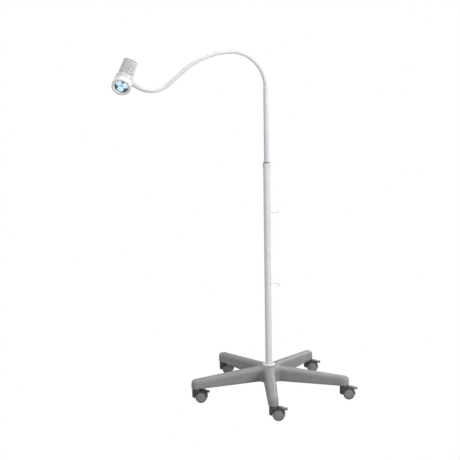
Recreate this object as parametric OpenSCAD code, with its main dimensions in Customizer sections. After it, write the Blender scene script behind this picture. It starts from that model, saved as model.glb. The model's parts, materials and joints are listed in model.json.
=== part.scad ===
// Examination lamp on a five-star castor base: telescopic mast, gooseneck arm and
// an angled head with a finned heat sink. Frame: the origin is on the floor on the
// mast axis, +Z is up, the arm leans towards -X. All sizes are in millimetres.

/* [Base] */
// Distance from the mast axis to the castor stems
stem_reach = 345; // [300:1:380]
// Width of an arm at its outer end
arm_tip_w = 44; // [42:1:50]
// Width of an arm at the hub
arm_root_w = 52; // [48:1:58]
// Height of the underside of the arms above the floor
arm_under_z = 64; // [63:1:66]
// Height of the top of an arm at its outer end
arm_tip_z = 104; // [102:1:110]
// Height of the top of an arm at the hub
arm_root_z = 127; // [124:1:130]
// Angle by which the base is turned on the mast
base_turn = 3; // [0:1:71]
// Wall thickness of the base moulding
base_wall = 3.5; // [3:0.5:5]

/* [Castors] */
// Wheel diameter
wheel_d = 50; // [46:1:52]
// Distance from the swivel axis to the axle
trail = 21; // [20:1:24]
// Width of one wheel of a pair
wheel_w = 13; // [10:1:14]

/* [Mast] */
// Outer diameter of the lower tube
lower_d = 30; // [29:0.5:32]
// Height of the top of the lower tube
lower_top_z = 1040; // [900:5:1100]
// Outer diameter of the upper tube
upper_d = 22; // [21:0.5:22]
// Height at which the gooseneck starts
neck_z = 1370; // [1250:2:1400]
// Length of the upper tube
upper_len = 620; // [500:5:640]
// Height of the upper lead hook
hook_high_z = 828; // [700:1:900]
// Height of the lower lead hook
hook_low_z = 508; // [350:1:650]
// Reach of a lead hook from the mast axis
hook_reach = 51; // [40:1:60]
// Height of the lead inlet at the back of the mast
inlet_z = 170; // [165:1:220]

/* [Gooseneck] */
// Outer diameter of the gooseneck sleeve
neck_d = 17.5; // [17:0.1:18]
// Radius of the first bend, over the top of the mast
first_r = 160; // [150:1:180]
// Radius of the second bend, down towards the head
second_r = 350; // [320:1:380]
// Slope of the falling stretch
fall_deg = 38; // [30:1:45]
// Length of the straight falling stretch
fall_len = 85; // [70:1:110]
// Radius of the last bend, up into the head
last_r = 116; // [100:1:130]
// Slope at which the gooseneck rises into the head
rise_deg = 32; // [20:1:40]
// Angle of the arm from -X towards -Y
arm_turn = 25; // [0:1:45]

/* [Head] */
// Diameter of the heat sink at the housing
sink_d = 64; // [60:1:66]
// Diameter of the heat sink at the rear cap
sink_rear_d = 59; // [56:1:62]
// Length of the finned part of the heat sink
sink_len = 66; // [50:1:80]
// Number of cooling fins
fin_count = 36; // [24:1:40]
// Diameter of the housing collar
collar_d = 72; // [70:1:76]
// Diameter of the front ring
ring_d = 80; // [80:1:90]
// Diameter of the clear window opening
window_d = 56; // [56:1:58]
// Angle between the heat sink axis and the light's axis
elbow_deg = 36; // [20:1:40]
// Turn of the head on the gooseneck
head_roll = 11; // [-30:1:30]
// Angle of the socket away from square to the heat sink
socket_tilt = 5; // [0:1:12]
// Direction of the socket round the heat sink axis
socket_turn = 73; // [60:1:90]

/* [Hidden] */
$fn = 64;
hull_fn = 32;
arm_count = 5;
ears = [-1, 1];
// running clearance of a shaft or tube in its bush
run = 0.08;
// free gap between pieces that move past each other
gap = 0.3;
// clearance round a piece that is pressed or glued in
press = 0.05;
// length of a cutter that goes right through a piece
cut_len = 80;

// base
hub_r = 49;
hub_z = 131;
boss_r = 22;
flange_r = 29;
flange_h = 5;
socket_floor_z = 76;
socket_r = 19;
bolt_r = 6;
bolt_z = 62;
arm_fillet = 11;
rib_at = [120, 210];
rib_w = 2.5;
stem_r = 5.5;
stem_bush_r = 7.5;
stem_bush_h = 28;

// castors
wheel_r = wheel_d / 2;
web_half = 7;
wheel_in = 7.8;
axle_r = 3;
castor_top = arm_under_z - 3;
pedal_pivot = [16, 54];
pedal_pin_r = 2;
pedal_w = 26;
// half the width of the pedal's lug, and its slot in the hood
lug_half = 4;
lug_slot = lug_half + gap;
hood_r = 19;
hood_low_z = 22;
tyre_gap = 1.2;
cover_wall = 2.4;
stem_low_z = 40;

// mast
lower_r = lower_d / 2;
lower_in = lower_r - 1.5;
upper_r = upper_d / 2;
upper_in = upper_r - 1.2;
ferrule_z = neck_z - 12;
upper_base_z = ferrule_z - upper_len;
hook_r = 2;
hook_bend = 6;
hook_tip = 12;
inlet_r = 6;
tube_plug_h = 26;
bush_h = 40;
bush_lip = 2;
clamp_h = 3;
collar_h = 19;
collar_skirt = 11;
glide_h = 16;

// gooseneck route, one stretch for each rigid length: [length, bend radius], straight
// where the radius is 0 and bending back up where it is negative
neck_r = neck_d / 2;
neck_in = 7.8;
first_len = first_r * PI / 2;
second_len = second_r * fall_deg * PI / 180;
last_len = last_r * (fall_deg + rise_deg) * PI / 180;
route = [[first_len, first_r], [second_len, second_r], [fall_len, 0], [last_len, -last_r]];
neck_count = len(route);
bend_gap = 3.2;
core_r = 5;
core_in = 2.5;
ball_r = 5.9;
ball_neck_r = 3.5;
cup_r = 7.4;
cup_len = 14;
lead_r = 4;
// distances along the head's joint axis, from the heat sink axis
joint_face = 46;
joint_in = 28;
joint_to_neck = 68;
spindle_r = 5;
spigot_r = 9.9;
boss_start = 31;

// head
sink_z = 10;
fin_w = 3.2;
collar_z = 10;
bend_z = -16;
front_z = -33;
// how far the ring stands out before the window
ring_lip = 4;
ring_h = 10;
ring_r = ring_d / 2;
window_r = window_d / 2;
lens_r = 12;
lens_pitch_r = 15.5;
lens_turn = 60;
board_z = front_z + 19;
board_r = 27;
screw_at = 21;
screw_r = 1.5;
pad_r = 24;
bore_wall = 11;
cap_z = sink_z + sink_len;
cap_h = 5;
button_r = 7;
button_flange = 2;

CASTOR_PIECES = ["castor_hood", "castor_stem", "castor_wheels", "castor_pedal"];
FIXED = ["star_base", "hub_socket", "base_bolt", "foot_plug", "stem_bushes",
         "base_flange", "lower_tube", "tube_bush", "hook_upper", "hook_lower",
         "inlet_grommet", "clamp_collar", "clamp_ring", "seal_ring", "upper_tube",
         "glide_bush", "neck_ferrule", "end_ferrule", "head_joint", "head_housing",
         "front_ring", "front_window", "lens_holder", "lenses", "led_board",
         "led_chips", "board_screws", "heat_sink", "driver_board", "rear_cap",
         "switch_unit", "push_button"];

function arm_angle(k) = base_turn - 90 + (k - 1) * 360 / arm_count;

// ---- shared shapes ----

module ring(r_out, r_in, h) {
    difference() {
        cylinder(r = r_out, h = h);
        translate([0, 0, -1]) cylinder(r = r_in, h = h + 2);
    }
}

// a turned disc or tube with rounded outer edges, e is the radius of the edges
module soft_ring(r_out, r_in, h, e) {
    rotate_extrude() {
        translate([r_in, 0]) square([r_out - r_in - e, h]);
        translate([r_in, e]) square([r_out - r_in, h - 2 * e]);
        translate([r_out - e, e]) circle(r = e);
        translate([r_out - e, h - e]) circle(r = e);
    }
}

// ---- base ----

// outer end of an arm, a stack of thin discs that rounds its upper edge
module arm_tip() {
    r = arm_tip_w / 2;
    disc = 0.5;
    translate([0, 0, arm_under_z]) cylinder(r = r, h = disc, $fn = hull_fn);
    for (a = [0:22.5:90])
        translate([0, 0, arm_tip_z - disc - arm_fillet * (1 - sin(a))])
            cylinder(r = r - arm_fillet * (1 - cos(a)), h = disc, $fn = hull_fn);
}

// section of an arm where it leaves the hub
module arm_root() {
    half = arm_root_w / 2;
    translate([0, -half, arm_under_z]) cube([1, arm_root_w, 1]);
    for (side = ears)
        translate([0, side * (half - arm_fillet), arm_root_z - arm_fillet])
            rotate([0, 90, 0]) cylinder(r = arm_fillet, h = 1, $fn = hull_fn);
}

module arm_shell() {
    hull() {
        translate([stem_reach, 0, 0]) arm_tip();
        translate([hub_r - 8, 0, 0]) arm_root();
    }
}

module arm_hollow() {
    tip_half = arm_tip_w / 2 - base_wall;
    root_half = arm_root_w / 2 - base_wall;
    low = arm_under_z - 1;
    intersection() {
        translate([0, 0, low]) linear_extrude(height = cut_len) difference() {
            polygon([[boss_r + 4, -root_half], [stem_reach - 16, -tip_half],
                     [stem_reach - 16, tip_half], [boss_r + 4, root_half]]);
            circle(r = boss_r + 4);
            for (x = rib_at) translate([x, 0]) square([rib_w, arm_root_w], center = true);
        }
        rotate([90, 0, 0]) linear_extrude(height = arm_root_w, center = true)
            polygon([[0, low], [stem_reach, low], [stem_reach, arm_tip_z - 11],
                     [0, arm_root_z - 9]]);
    }
}

module star_base() {
    color("gray") difference() {
        union() {
            for (k = [1:arm_count]) rotate([0, 0, arm_angle(k)]) arm_shell();
            translate([0, 0, arm_under_z]) soft_ring(hub_r, 0, hub_z - arm_under_z, 3);
        }
        for (k = [1:arm_count]) rotate([0, 0, arm_angle(k)]) {
            arm_hollow();
            translate([stem_reach, 0, arm_under_z - 1]) cylinder(r = stem_bush_r, h = stem_bush_h + 2.5);
        }
        translate([0, 0, arm_under_z - 1]) cylinder(r = socket_r, h = cut_len);
    }
}

// steel cup that carries the mast in the hub
module hub_socket() {
    color("silver") difference() {
        translate([0, 0, arm_under_z + 4]) cylinder(r = socket_r - press, h = hub_z - arm_under_z - 4);
        translate([0, 0, socket_floor_z]) cylinder(r = lower_r + press, h = cut_len);
        translate([0, 0, arm_under_z]) cylinder(r = bolt_r + 0.2, h = 20);
    }
}

// plug in the foot of the mast, with the thread for the base bolt
module foot_plug() {
    color("dimgray") translate([0, 0, socket_floor_z]) ring(lower_in - press, bolt_r + press, tube_plug_h);
}

module base_bolt() {
    color("silver") {
        // hexagon head, washer and shank
        translate([0, 0, bolt_z - 9]) cylinder(r = 11, h = 7, $fn = 6);
        translate([0, 0, bolt_z - 2]) cylinder(r = 20, h = 2.5);
        translate([0, 0, bolt_z]) cylinder(r = bolt_r, h = 38);
    }
}

// bushes that hold the castor stems, one in each arm end
module stem_bushes() {
    color("gainsboro") for (k = [1:arm_count]) rotate([0, 0, arm_angle(k)])
        translate([stem_reach, 0, 0]) {
            translate([0, 0, arm_under_z]) ring(stem_bush_r - press, stem_r + press, stem_bush_h);
            translate([0, 0, arm_under_z - 1.5]) ring(10, stem_r + press, 1.5);
        }
}

module base_flange() {
    color("whitesmoke") translate([0, 0, hub_z]) soft_ring(flange_r, lower_r + press, flange_h, 2);
}

// ---- mast ----

module lower_tube() {
    color("white") difference() {
        translate([0, 0, socket_floor_z])
            ring(lower_r, lower_in, lower_top_z - socket_floor_z);
        translate([0, lower_r, inlet_z]) rotate([90, 0, 0])
            cylinder(r = inlet_r, h = 12, center = true);
        for (z = [hook_high_z, hook_low_z]) translate([lower_r, 0, z]) rotate([0, 90, 0])
            cylinder(r = hook_r + 0.1, h = 12, center = true);
    }
}

// rubber grommet of the lead inlet, its bore runs along Y
module inlet_grommet() {
    color("dimgray") translate([0, lower_r + 2.5, inlet_z]) rotate([90, 0, 0])
        difference() {
            union() {
                cylinder(r = inlet_r - 0.1, h = 5);
                cylinder(r = inlet_r + 2, h = 1.2);
            }
            translate([0, 0, -1]) cylinder(r = 3.2, h = 8);
        }
}

// wire hook for winding the lead, side is 1 with the tip up and -1 with it down
module lead_hook(side) {
    straight = hook_reach - hook_r - hook_bend;
    translate([lower_in, 0, 0]) rotate([0, 90, 0]) cylinder(r = hook_r, h = straight - lower_in);
    translate([lower_r + press, 0, 0]) rotate([0, 90, 0]) cylinder(r = 4.5, h = 1.5);
    mirror([0, 0, side > 0 ? 0 : 1]) translate([straight, 0, hook_bend]) {
        rotate([90, 0, 0]) rotate([0, 0, -90]) rotate_extrude(angle = 90)
            translate([hook_bend, 0]) circle(r = hook_r);
        translate([hook_bend, 0, 0]) {
            cylinder(r = hook_r, h = hook_tip - hook_bend);
            translate([0, 0, hook_tip - hook_bend]) sphere(r = hook_r);
        }
    }
}

module hook_upper() {
    color("whitesmoke") translate([0, 0, hook_high_z]) lead_hook(1);
}

module hook_lower() {
    color("whitesmoke") translate([0, 0, hook_low_z]) lead_hook(-1);
}

module tube_bush() {
    color("ivory") {
        translate([0, 0, lower_top_z - bush_h]) ring(lower_in - press, upper_r + run, bush_h);
        translate([0, 0, lower_top_z]) ring(lower_r, upper_r + run, bush_lip);
    }
}

// split ring that the collar squeezes on the upper tube
module clamp_ring() {
    color("ivory") translate([0, 0, lower_top_z + bush_lip]) difference() {
        ring(lower_r - 0.4, upper_r + run, clamp_h);
        translate([lower_r - 2, 0, 1]) cube([10, 1.5, 6], center = true);
    }
}

module clamp_collar() {
    color("white") translate([0, 0, lower_top_z - collar_skirt]) difference() {
        soft_ring(lower_r + 2.5, upper_r + gap, collar_h, 2.5);
        translate([0, 0, -1])
            cylinder(r = lower_r + gap, h = 1 + collar_skirt + bush_lip + clamp_h + gap);
    }
}

module seal_ring() {
    color("black") translate([0, 0, lower_top_z + collar_h - collar_skirt])
        soft_ring(lower_r, upper_r + gap, 3, 1);
}

module upper_tube() {
    color("ghostwhite") translate([0, 0, upper_base_z]) ring(upper_r, upper_in, upper_len);
}

// bush at the foot of the upper tube, it slides in the lower tube
module glide_bush() {
    color("dimgray") translate([0, 0, upper_base_z]) {
        translate([0, 0, -glide_h]) ring(lower_in - run, lead_r, glide_h);
        ring(upper_in - press, lead_r, 22);
    }
}

// ---- gooseneck ----

// local frame of the arm: z up along the mast, x towards the head
module at_arm() {
    translate([0, 0, neck_z]) rotate([0, 0, 180 + arm_turn]) children();
}

// moves its children a distance along stretch i, keeping z along the route
module along(i, distance) {
    r = abs(route[i][1]);
    turn = r > 0 ? distance / r * 180 / PI : 0;
    side = route[i][1] < 0 ? -1 : 1;
    if (r > 0)
        translate([side * r * (1 - cos(turn)), 0, r * sin(turn)])
            rotate([0, side * turn, 0]) children();
    else
        translate([0, 0, distance]) children();
}

// moves its children to the start of stretch i, counting from 0
module at_stretch(i, from = 0) {
    if (from < i) along(from, route[from][0]) at_stretch(i, from + 1) children();
    else children();
}

// round bar on stretch i, from a to b along it
module bar(i, a, b, r_bar) {
    bend = route[i][1];
    r = abs(bend);
    if (bend == 0)
        translate([0, 0, a]) cylinder(r = r_bar, h = b - a);
    else
        mirror([bend < 0 ? 1 : 0, 0, 0]) translate([r, 0, 0]) rotate([90, 0, 0])
            rotate([0, 0, 180 - b / r * 180 / PI])
                rotate_extrude(angle = (b - a) / r * 180 / PI)
                    translate([r, 0]) circle(r = r_bar);
}

module neck_sleeve(k) {
    i = k - 1;
    a = k > 1 ? bend_gap : 0;
    b = route[i][0] - (k < neck_count ? bend_gap : 0);
    color("white") at_arm() at_stretch(i) difference() {
        bar(i, a, b, neck_r);
        bar(i, a - 0.5, b + 0.5, neck_in);
    }
}

// wound steel core, the ball at its start turns in the cup of the core before it
module neck_core(k) {
    i = k - 1;
    len_i = route[i][0];
    color("darkgray") at_arm() at_stretch(i) difference() {
        union() {
            bar(i, k > 1 ? 8 : 0, len_i - (k < neck_count ? cup_len - 2 : 0), core_r);
            if (k > 1) {
                sphere(r = ball_r);
                bar(i, 1, 10, ball_neck_r);
            }
            if (k < neck_count) bar(i, len_i - cup_len, len_i + 0.5, cup_r);
        }
        bar(i, k > 1 ? 9 : -1, len_i - (k < neck_count ? 8 : -1), core_in);
        if (k > 1) translate([0, 0, -8]) cylinder(r = 1.5, h = 18);
        if (k < neck_count) along(i, len_i) {
            sphere(r = ball_r + gap);
            translate([0, 0, -10]) cylinder(r = 2, h = 10);
        }
    }
}

module neck_ferrule() {
    color("whitesmoke") translate([0, 0, ferrule_z + gap]) difference() {
        union() {
            soft_ring(upper_r, lead_r, 22, 1);
            translate([0, 0, -gap - 30]) cylinder(r = upper_in - run, h = 31);
        }
        translate([0, 0, -40]) cylinder(r = lead_r, h = 60);
        translate([0, 0, neck_z - ferrule_z - 2 * gap]) cylinder(r = neck_r + 0.35, h = 30);
    }
}

// ---- head frames ----

// the head's joint axis is +X, pointing into the head, from the heat sink axis
module at_joint() {
    at_arm() at_stretch(neck_count) translate([0, 0, joint_to_neck])
        rotate([0, -90, 0]) rotate([head_roll, 0, 0]) children();
}

// +Z is the heat sink axis, pointing to the rear, +X is the side the light leans to
module at_head() {
    at_joint() rotate([0, socket_tilt, 0]) rotate([0, 0, socket_turn]) children();
}

// -Z is the light's axis
module at_front() {
    at_head() translate([0, 0, bend_z]) rotate([0, -elbow_deg, 0]) children();
}

module end_ferrule() {
    color("whitesmoke") at_joint() translate([-joint_face - gap, 0, 0]) rotate([0, -90, 0])
        difference() {
            union() {
                soft_ring(neck_r + 1, core_in, joint_to_neck - joint_face + 2, 1);
                translate([0, 0, gap + joint_in - joint_face])
                    cylinder(r = spindle_r, h = joint_face - joint_in);
            }
            translate([0, 0, -30]) cylinder(r = core_in, h = 60);
            translate([0, 0, joint_to_neck - joint_face - 2 * gap])
                cylinder(r = neck_r + 0.3, h = 20);
        }
}

module head_joint() {
    color("white") difference() {
        union() {
            difference() {
                at_joint() rotate([0, -90, 0]) translate([0, 0, boss_start])
                    soft_ring(13, 0, joint_face - boss_start, 3);
                at_joint() rotate([0, socket_tilt, 0]) translate([0, 0, -40])
                    cylinder(r = collar_d / 2 + press, h = cut_len);
                elbow(-press, collar_z, 0);
            }
            at_joint() rotate([0, -90, 0]) translate([0, 0, joint_in])
                cylinder(r = spigot_r, h = 12);
        }
        at_joint() rotate([0, -90, 0]) cylinder(r = spindle_r + run, h = 60);
    }
}

// ---- head ----

// elbow solid between the collar and the front, reduced by inset, with its rear end at
// rear_z and its front end run on by front_more
module elbow(inset, rear_z, front_more) {
    hull() {
        at_head() translate([0, 0, bend_z + 2])
            cylinder(r = collar_d / 2 - inset, h = rear_z - bend_z - 2, $fn = hull_fn);
        at_front() translate([0, 0, front_z + 10 - front_more])
            cylinder(r = ring_r - 1.5 - inset, h = 4, $fn = hull_fn);
    }
}

module head_housing() {
    color("ivory") difference() {
        elbow(0, collar_z, 0);
        elbow(2.5, collar_z - 2, 0.5);
        at_head() cylinder(r = sink_d / 2 - 1.5, h = 20);
        at_joint() rotate([0, -90, 0]) translate([0, 0, 20])
            cylinder(r = spigot_r + 0.1, h = 40);
    }
}

module front_ring() {
    color("white") at_front() translate([0, 0, front_z - ring_lip]) difference() {
        soft_ring(ring_r, window_r, ring_h + ring_lip, 3);
        // seat of the window
        translate([0, 0, ring_lip + 3]) cylinder(r = window_r + 3, h = 20);
        // flared mouth
        translate([0, 0, -1]) cylinder(r1 = window_r + 4, r2 = window_r - 1, h = ring_lip + 2);
    }
}

module front_window() {
    color("lightblue", 0.5) at_front() translate([0, 0, front_z + 3])
        cylinder(r = window_r + 2.9, h = 2);
}

module at_lenses() {
    for (k = [0:2]) rotate([0, 0, lens_turn + k * 120]) translate([lens_pitch_r, 0, 0])
        children();
}

module lens_holder() {
    color("slategray") at_front() translate([0, 0, front_z + 8]) difference() {
        cylinder(r = window_r + 2.5, h = 2.5);
        translate([0, 0, -1]) at_lenses() cylinder(r = lens_r + 0.1, h = 10);
    }
}

module lenses() {
    color("aliceblue") at_front() translate([0, 0, front_z + 6]) at_lenses() {
        cylinder(r = lens_r, h = 5);
        translate([0, 0, 5]) cylinder(r1 = lens_r - 0.5, r2 = 5, h = 6);
    }
}

// places of the screws that hold the board, between the lenses
module at_screws() {
    for (k = [0:2]) rotate([0, 0, lens_turn + 60 + k * 120]) translate([screw_at, 0, 0])
        children();
}

module led_board() {
    color("green") at_front() translate([0, 0, board_z]) difference() {
        cylinder(r = board_r, h = 1.6);
        at_screws() translate([0, 0, -1]) cylinder(r = screw_r + 0.1, h = 4);
    }
}

module led_chips() {
    color("gold") at_front() translate([0, 0, board_z - 0.8]) at_lenses()
        cube([5, 5, 1.6], center = true);
}

module board_screws() {
    color("silver") at_front() at_screws() translate([0, 0, board_z - 2]) {
        cylinder(r = screw_r + 1.3, h = 2);
        cylinder(r = screw_r, h = 8);
    }
}

module fin_outline() {
    difference() {
        union() {
            circle(r = sink_d / 2 - 6);
            for (k = [1:fin_count]) rotate([0, 0, k * 360 / fin_count])
                translate([0, -fin_w / 2]) square([sink_d / 2 + 1, fin_w]);
        }
        circle(r = sink_d / 2 - bore_wall);
    }
}

module heat_sink() {
    color("rosybrown") difference() {
        union() {
            at_head() intersection() {
                translate([0, 0, sink_z]) linear_extrude(height = sink_len) fin_outline();
                translate([0, 0, sink_z]) cylinder(r1 = sink_d / 2, r2 = sink_rear_d / 2, h = sink_len);
            }
            at_head() translate([0, 0, sink_z - 4]) cylinder(r = sink_d / 2 - 1.6, h = 10);
            at_head() translate([0, 0, bend_z + 6]) cylinder(r = pad_r, h = 20);
            at_front() translate([0, 0, board_z + 1.6]) cylinder(r = pad_r, h = 12);
        }
        at_head() translate([0, 0, sink_z + 6]) cylinder(r = sink_d / 2 - bore_wall, h = cut_len);
        at_front() at_screws() translate([0, 0, board_z - 3]) cylinder(r = screw_r + press, h = 10);
        at_joint() rotate([0, -90, 0]) translate([0, 0, 18]) cylinder(r = spigot_r + 1.1, h = 60);
        at_joint() rotate([0, -90, 0]) cylinder(r = 3, h = 60);
    }
}

// the lamp's driver, upright in the bore of the heat sink
module driver_board() {
    color("darkgreen") at_head() translate([0, 0, sink_z + 8]) {
        translate([-16, -0.8, 0]) cube([32, 1.6, 40]);
        translate([-9, 0.6, 8]) cube([10, 9, 12]);
        translate([4, 0.6, 22]) cube([8, 6, 8]);
        translate([-8, 5, 30]) cylinder(r = 4.3, h = 9);
    }
}

module rear_cap() {
    color("rosybrown") at_head() translate([0, 0, cap_z]) difference() {
        union() {
            soft_ring(sink_rear_d / 2, 0, cap_h, 2.4);
            translate([0, 0, -4]) cylinder(r = sink_d / 2 - bore_wall - 0.1, h = 5);
        }
        translate([0, 0, -10]) cylinder(r = button_r + gap, h = 30);
        translate([0, 0, -10]) cylinder(r = button_r + button_flange + 1, h = 10);
    }
}

// push switch on the driver side of the rear cap
module switch_unit() {
    color("dimgray") at_head() translate([0, 0, cap_z - 16]) {
        translate([-7, -7, 0]) cube([14, 14, 8]);
        cylinder(r = 2.5, h = 10);
    }
}

module push_button() {
    color("whitesmoke") at_head() translate([0, 0, cap_z]) {
        translate([0, 0, -2]) soft_ring(button_r, 0, cap_h + 4, 1);
        translate([0, 0, -4.2]) cylinder(r = button_r + button_flange, h = 3);
    }
}

// ---- castors ----

module at_castor(k) {
    rotate([0, 0, arm_angle(k)]) translate([stem_reach, 0, 0]) rotate([0, 0, -arm_angle(k)])
        children();
}

// a bar across the castor, centred on y = 0
module across(x, z, r, half) {
    translate([x, 0, z]) rotate([90, 0, 0]) cylinder(r = r, h = 2 * half, center = true);
}

module castor_hood(k) {
    cover_in = wheel_r + tyre_gap;
    cover_out = cover_in + cover_wall;
    cover_half = wheel_in + wheel_w + 1;
    px = pedal_pivot[0];
    pz = pedal_pivot[1];
    color("dimgray") at_castor(k) difference() {
        union() {
            across(trail, wheel_r, 9, web_half);
            // web between the wheels
            rotate([90, 0, 0]) linear_extrude(height = 2 * web_half, center = true)
                polygon([[-7, 50], [-7, 32], [trail - 8, wheel_r - 4], [trail + 4, wheel_r + 8],
                         [trail - 2, 51], [8, 54]]);
            // block round the stem, clear of the wheels
            difference() {
                translate([0, 0, hood_low_z]) soft_ring(hood_r, 0, castor_top - hood_low_z, 4);
                across(trail, wheel_r, cover_in, 2 * cover_half);
            }
            // mudguard over both wheels, open under the pedal
            difference() {
                across(trail, wheel_r, cover_out, cover_half);
                across(trail, wheel_r, cover_in, 2 * cover_half);
                translate([-wheel_d, -wheel_d, -wheel_d])
                    cube([3 * wheel_d, 2 * wheel_d, wheel_d + hood_low_z]);
                translate([px - 2, -pedal_w / 2 - 0.5, wheel_r + 17])
                    cube([wheel_d, pedal_w + 1, wheel_r]);
            }
        }
        translate([0, 0, stem_low_z]) cylinder(r = stem_r + press, h = 40);
        across(trail, wheel_r, axle_r + run, 20);
        // room for the pedal's lug, and the bore for its pin
        across(px, pz, 5, lug_slot);
        across(px, pz, pedal_pin_r + run, 20);
        translate([px, -lug_slot, pz - 4]) cube([20, 2 * lug_slot, 20]);
    }
}

module castor_stem(k) {
    color("silver") at_castor(k) {
        translate([0, 0, stem_low_z]) cylinder(r = stem_r, h = 50);
        translate([0, 0, castor_top]) cylinder(r = 9, h = 1.2);
    }
}

// two wheels pressed on their axle, with a hub cap on each
module castor_wheels(k) {
    color("gray") at_castor(k) translate([trail, 0, wheel_r]) {
        rotate([90, 0, 0]) cylinder(r = axle_r, h = 2 * (wheel_in + wheel_w) - 4, center = true);
        for (side = ears) rotate([side * -90, 0, 0]) translate([0, 0, wheel_in]) {
            difference() {
                soft_ring(wheel_r, axle_r + 0.02, wheel_w, 2.5);
                translate([0, 0, wheel_w - 3]) cylinder(r = wheel_r - 5, h = 10);
            }
            translate([0, 0, wheel_w - 2.9]) cylinder(r1 = wheel_r - 5.2, r2 = wheel_r - 8, h = 4);
        }
    }
}

// brake pedal, it turns on its own trunnions in the hood
module castor_pedal(k) {
    px = pedal_pivot[0];
    pz = pedal_pivot[1];
    color("dimgray") at_castor(k) {
        across(px, pz, 3.6, lug_half);
        across(px, pz, pedal_pin_r, web_half);
        rotate([90, 0, 0]) linear_extrude(height = 7.4, center = true)
            polygon([[px, pz + 3], [px, pz], [px + 12, pz - 2], [px + 12, pz + 1.5]]);
        rotate([90, 0, 0]) linear_extrude(height = pedal_w, center = true)
            polygon([[px + 8, pz + 2], [px + 8, pz - 1], [px + 20, pz - 2.5], [px + 34, pz - 8],
                     [px + 42, pz - 8.5], [px + 43, pz - 4], [px + 40.5, pz - 5.5],
                     [px + 34, pz - 5], [px + 20, pz + 1]]);
    }
}

// ---- the lamp ----

star_base();
hub_socket();
base_bolt();
foot_plug();
stem_bushes();
base_flange();
lower_tube();
tube_bush();
hook_upper();
hook_lower();
inlet_grommet();
clamp_collar();
clamp_ring();
seal_ring();
upper_tube();
glide_bush();
neck_ferrule();
end_ferrule();
head_joint();
head_housing();
front_ring();
front_window();
lens_holder();
lenses();
led_board();
led_chips();
board_screws();
heat_sink();
driver_board();
rear_cap();
switch_unit();
push_button();
for (k = [1:neck_count]) {
    neck_sleeve(k);
    neck_core(k);
}
for (k = [1:arm_count]) {
    castor_hood(k);
    castor_stem(k);
    castor_wheels(k);
    castor_pedal(k);
}
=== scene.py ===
import json
import math
import bpy
import bmesh
from mathutils import Matrix, Vector


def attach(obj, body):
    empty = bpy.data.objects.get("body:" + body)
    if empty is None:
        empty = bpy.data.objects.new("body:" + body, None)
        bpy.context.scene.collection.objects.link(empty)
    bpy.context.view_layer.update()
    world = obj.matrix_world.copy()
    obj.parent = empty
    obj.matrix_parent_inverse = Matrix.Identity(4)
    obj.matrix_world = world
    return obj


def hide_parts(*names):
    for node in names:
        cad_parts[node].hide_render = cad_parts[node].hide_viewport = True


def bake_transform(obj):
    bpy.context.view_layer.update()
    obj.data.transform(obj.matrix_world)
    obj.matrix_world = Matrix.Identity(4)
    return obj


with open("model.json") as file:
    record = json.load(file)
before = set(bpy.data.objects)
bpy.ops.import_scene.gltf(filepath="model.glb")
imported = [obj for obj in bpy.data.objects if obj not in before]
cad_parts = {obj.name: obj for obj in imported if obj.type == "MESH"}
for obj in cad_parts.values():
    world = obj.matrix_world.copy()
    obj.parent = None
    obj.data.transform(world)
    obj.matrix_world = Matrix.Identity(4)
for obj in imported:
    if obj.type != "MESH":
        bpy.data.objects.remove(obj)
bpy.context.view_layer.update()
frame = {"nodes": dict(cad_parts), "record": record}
scene = bpy.context.scene
print("frame loaded")


# camera, floor and light

viewSpec = dict(place=(0.0, -4.472, 1.603), down=10.77, turn=-2.11, roll=-1.02, lens=80.6, film=36, far=60)
lightRows = [
    # name, place, aim, disc size, power, colour
    ("keyLight", (3.2, -2.4, 2.2), (0, 0, 0.8), 2.2, 110, (1, 0.995, 0.99)),
    ("fillLight", (-2.6, -3.4, 1.9), (0, 0, 0.8), 2.6, 24, (0.96, 0.975, 1)),
    ("topLight", (0.0, 0.5, 4.3), (0, 0, 0.3), 2.8, 64, (1, 1, 1)),
    ("rimLight", (-3.4, 1.0, 1.9), (0, 0, 0.9), 1.8, 10, (1, 1, 1)),
    ("backLight", (1.6, 3.4, 2.2), (0, 0, 0.9), 2.4, 40, (1, 1, 1)),
]


def makeCamera(spec):
    pitch, yaw, roll = (math.radians(spec[k]) for k in ("down", "turn", "roll"))
    level = math.cos(pitch)
    ahead = Vector((math.sin(yaw) * level, math.cos(yaw) * level, -math.sin(pitch)))
    right = Vector((math.cos(yaw), -math.sin(yaw), 0))
    up = right.cross(ahead)
    across = math.cos(roll) * right + math.sin(roll) * up
    upward = -math.sin(roll) * right + math.cos(roll) * up
    data = bpy.data.cameras.new("viewCamera")
    data.lens = spec["lens"]
    data.sensor_width = spec["film"]
    data.clip_end = spec["far"]
    camera = bpy.data.objects.new("viewCamera", data)
    scene.collection.objects.link(camera)
    turn = Matrix((across, upward, -ahead)).transposed().to_4x4()
    camera.matrix_world = Matrix.Translation(spec["place"]) @ turn
    scene.camera = camera


def makeLights(rows):
    for name, at, aim, size, power, colour in rows:
        data = bpy.data.lights.new(name, "AREA")
        data.shape = "DISK"
        data.size = size
        data.energy = power
        data.color = colour
        lamp = bpy.data.objects.new(name, data)
        scene.collection.objects.link(lamp)
        lamp.location = at
        lamp.rotation_euler = (Vector(aim) - Vector(at)).to_track_quat("-Z", "Y").to_euler()


# materials

def newMaterial(name):
    material = bpy.data.materials.new(name)
    material.use_nodes = True
    tree = material.node_tree
    return material, tree, tree.nodes["Principled BSDF"]


def coordsOf(tree, scale=(1, 1, 1), alongPiece=False):
    source = tree.nodes.new("ShaderNodeTexCoord")
    mapping = tree.nodes.new("ShaderNodeMapping")
    mapping.inputs["Scale"].default_value = scale
    tree.links.new(source.outputs["UV" if alongPiece else "Object"], mapping.inputs["Vector"])
    return mapping.outputs["Vector"]


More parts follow.
